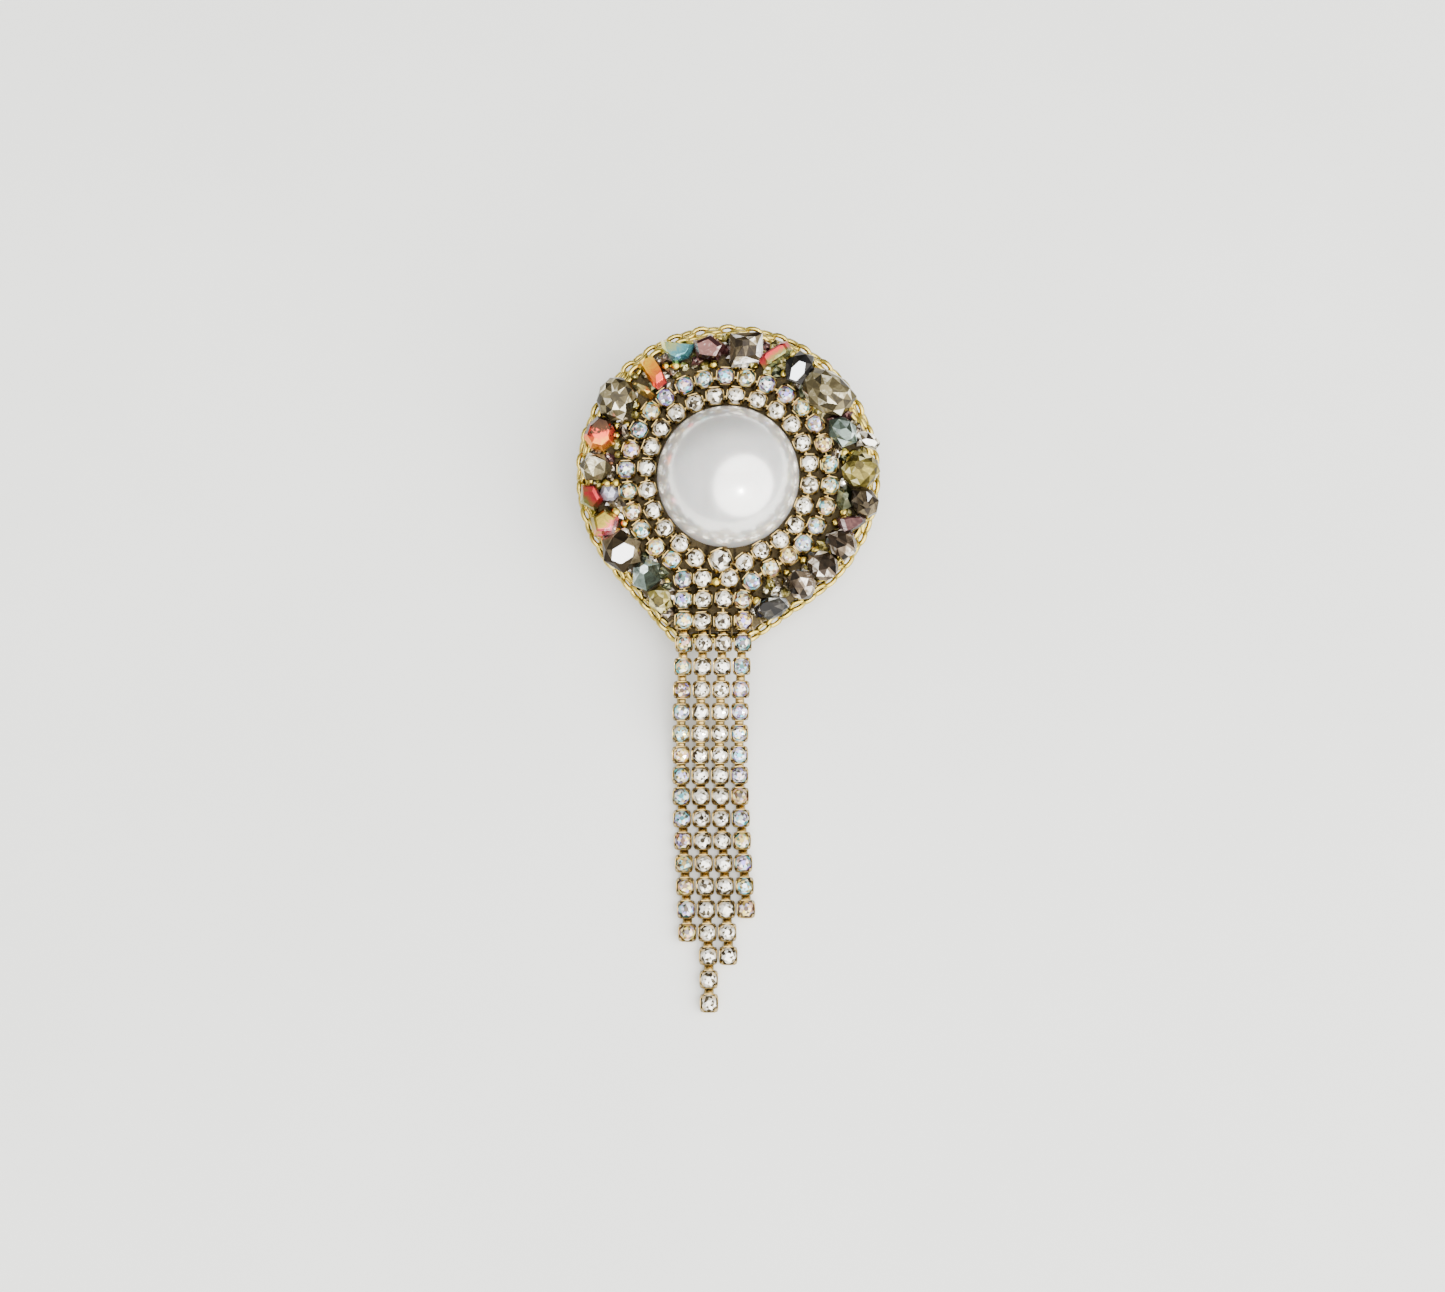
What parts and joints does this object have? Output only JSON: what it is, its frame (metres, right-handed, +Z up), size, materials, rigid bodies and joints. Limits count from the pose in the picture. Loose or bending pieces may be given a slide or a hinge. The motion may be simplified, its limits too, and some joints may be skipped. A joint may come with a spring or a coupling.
{
  "type": "rhinestone hair clip",
  "caption": "Jewelled round hair clip with a large pearl, two rhinestone rings, a crystal mosaic border and a four-strand rhinestone tassel.",
  "frame": {"origin": "middle of the bottom of the object's box as it lies on its back on a table", "axes": "+Y from the tassel to the disc, +Z up off the table, +X to the right as seen from the tassel's end"},
  "size_m": [0.039, 0.0854, 0.0182],
  "materials": {
    "gold_metal": "polished pale gold",
    "steel": "plated steel sheet",
    "pearl_coat": "pearl lacquer",
    "felt": "golden brown felt",
    "card": "stiff card",
    "backing_leather": "matt beige split leather",
    "gold_thread": "gold sewing thread",
    "clear_crystal": "foiled clear cut glass",
    "rainbow_crystal": "foiled cut glass with a rainbow coat",
    "smoke_crystal": "smoky cut glass",
    "black_diamond_crystal": "dark smoky cut glass",
    "jet_crystal": "black cut glass",
    "plum_crystal": "brown-plum cut glass",
    "olive_crystal": "olive cut glass",
    "sunset_crystal": "cut glass coated yellow to coral",
    "rose_crystal": "cut glass coated rose to green",
    "teal_crystal": "blue-green cut glass",
    "lilac_crystal": "pale lilac cut glass",
    "opal_crystal": "milky opal cut glass"
  },
  "bodies": {
    "disc": {"clear_ring_chain": "clear_crystal", "clip_plate": "steel", "closing_stone": "clear_crystal", "copper_chip": "rose_crystal", "coral_cushion": "sunset_crystal", "diamond_rondelle_1": "black_diamond_crystal", "diamond_rondelle_2": "black_diamond_crystal", "diamond_rondelle_3": "black_diamond_crystal", "felt_base": "felt", "grey_boulder": "smoke_crystal", "honey_sliver": "sunset_crystal", "ice_brick": "clear_crystal", "ice_pebble": "clear_crystal", "jet_round": "jet_crystal", "leather_backing": "backing_leather", "lilac_bicone": "lilac_crystal", "mauve_crescent": "plum_crystal", "mink_facet": "plum_crystal", "moss_chip": "olive_crystal", "olive_pebble": "olive_crystal", "olive_rose_chip": "olive_crystal", "onyx_facet": "jet_crystal", "opal_half_moon": "opal_crystal", "pearl_cabochon": "pearl_coat", "pine_bicone": "teal_crystal", "pivot_pin": "steel", "plum_chip": "plum_crystal", "rainbow_ring_chain": "rainbow_crystal", "rim_chain": "gold_metal", "ruby_baton": "rose_crystal", "smoke_boulder": "smoke_crystal", "smoke_pebble": "smoke_crystal", "steel_pebble": "teal_crystal", "stiffener_card": "card", "sunset_baton": "sunset_crystal", "teal_bicone": "teal_crystal", "torsion_spring": "steel", "white_spear": "clear_crystal"},
    "jaw": {"clip_jaw": "steel"},
    "strand_1_link_cup": {"strand_1_link": "rainbow_crystal"},
    "strand_1_upper_run": {"strand_1_upper": "rainbow_crystal"},
    "strand_1_middle_run": {"strand_1_middle": "rainbow_crystal"},
    "strand_1_lower_run": {"strand_1_lower": "rainbow_crystal"},
    "strand_2_link_cup": {"strand_2_link": "clear_crystal"},
    "strand_2_upper_run": {"strand_2_upper": "clear_crystal"},
    "strand_2_middle_run": {"strand_2_middle": "clear_crystal"},
    "strand_2_lower_run": {"strand_2_lower": "clear_crystal"},
    "strand_3_link_cup": {"strand_3_link": "clear_crystal"},
    "strand_3_upper_run": {"strand_3_upper": "clear_crystal"},
    "strand_3_middle_run": {"strand_3_middle": "clear_crystal"},
    "strand_3_lower_run": {"strand_3_lower": "clear_crystal"},
    "strand_4_link_cup": {"strand_4_link": "rainbow_crystal"},
    "strand_4_upper_run": {"strand_4_upper": "rainbow_crystal"},
    "strand_4_middle_run": {"strand_4_middle": "rainbow_crystal"},
    "strand_4_lower_run": {"strand_4_lower": "rainbow_crystal"}
  },
  "joints": [
    {"name": "jaw_hinge", "type": "hinge", "parent": "disc", "child": "jaw", "pos_m": [0, 0.02913, 0.00451], "axis": [1, 0, 0], "range_deg": [0, 30], "stiffness_Nm_per_rad": 0.03, "springref_deg": -57.3, "deforming": ["torsion_spring"]},
    {"name": "strand_1_sway", "type": "hinge", "parent": "disc", "child": "strand_1_link_cup", "pos_m": [-0.00565, 0.00349, 0.00632], "axis": [0, -0.2079, 0.9781], "range_deg": [-15, 15]},
    {"name": "strand_1_upper_bend", "type": "hinge", "parent": "strand_1_link_cup", "child": "strand_1_upper_run", "pos_m": [-0.00565, 0.00075, 0.00574], "axis": [1, 0, 0], "range_deg": [-12, 60]},
    {"name": "strand_1_middle_bend", "type": "hinge", "parent": "strand_1_upper_run", "child": "strand_1_middle_run", "pos_m": [-0.00565, -0.00972, 0.00164], "axis": [1, 0, 0], "range_deg": [-12, 60]},
    {"name": "strand_1_lower_bend", "type": "hinge", "parent": "strand_1_middle_run", "child": "strand_1_lower_run", "pos_m": [-0.00565, -0.0206, 0.00045], "axis": [1, 0, 0], "range_deg": [-12, 60]},
    {"name": "strand_2_sway", "type": "hinge", "parent": "disc", "child": "strand_2_link_cup", "pos_m": [-0.0032, 0.00349, 0.00632], "axis": [0, -0.2079, 0.9781], "range_deg": [-15, 15]},
    {"name": "strand_2_upper_bend", "type": "hinge", "parent": "strand_2_link_cup", "child": "strand_2_upper_run", "pos_m": [-0.0032, 0.00075, 0.00574], "axis": [1, 0, 0], "range_deg": [-12, 60]},
    {"name": "strand_2_middle_bend", "type": "hinge", "parent": "strand_2_upper_run", "child": "strand_2_middle_run", "pos_m": [-0.0032, -0.00972, 0.00164], "axis": [1, 0, 0], "range_deg": [-12, 60]},
    {"name": "strand_2_lower_bend", "type": "hinge", "parent": "strand_2_middle_run", "child": "strand_2_lower_run", "pos_m": [-0.0032, -0.0206, 0.00045], "axis": [1, 0, 0], "range_deg": [-12, 60]},
    {"name": "strand_3_sway", "type": "hinge", "parent": "disc", "child": "strand_3_link_cup", "pos_m": [-0.00075, 0.00349, 0.00632], "axis": [0, -0.2079, 0.9781], "range_deg": [-15, 15]},
    {"name": "strand_3_upper_bend", "type": "hinge", "parent": "strand_3_link_cup", "child": "strand_3_upper_run", "pos_m": [-0.00075, 0.00075, 0.00574], "axis": [1, 0, 0], "range_deg": [-12, 60]},
    {"name": "strand_3_middle_bend", "type": "hinge", "parent": "strand_3_upper_run", "child": "strand_3_middle_run", "pos_m": [-0.00075, -0.00972, 0.00164], "axis": [1, 0, 0], "range_deg": [-12, 60]},
    {"name": "strand_3_lower_bend", "type": "hinge", "parent": "strand_3_middle_run", "child": "strand_3_lower_run", "pos_m": [-0.00075, -0.0206, 0.00045], "axis": [1, 0, 0], "range_deg": [-12, 60]},
    {"name": "strand_4_sway", "type": "hinge", "parent": "disc", "child": "strand_4_link_cup", "pos_m": [0.0017, 0.00349, 0.00632], "axis": [0, -0.2079, 0.9781], "range_deg": [-15, 15]},
    {"name": "strand_4_upper_bend", "type": "hinge", "parent": "strand_4_link_cup", "child": "strand_4_upper_run", "pos_m": [0.0017, 0.00075, 0.00574], "axis": [1, 0, 0], "range_deg": [-12, 60]},
    {"name": "strand_4_middle_bend", "type": "hinge", "parent": "strand_4_upper_run", "child": "strand_4_middle_run", "pos_m": [0.0017, -0.00972, 0.00164], "axis": [1, 0, 0], "range_deg": [-12, 60]},
    {"name": "strand_4_lower_bend", "type": "hinge", "parent": "strand_4_middle_run", "child": "strand_4_lower_run", "pos_m": [0.0017, -0.0206, 0.00045], "axis": [1, 0, 0], "range_deg": [-12, 60]}
  ],
  "couplings": [
    {"joint": "strand_2_sway", "follows": "strand_1_sway", "ratio": 1},
    {"joint": "strand_3_sway", "follows": "strand_1_sway", "ratio": 1},
    {"joint": "strand_4_sway", "follows": "strand_1_sway", "ratio": 1}
  ]
}
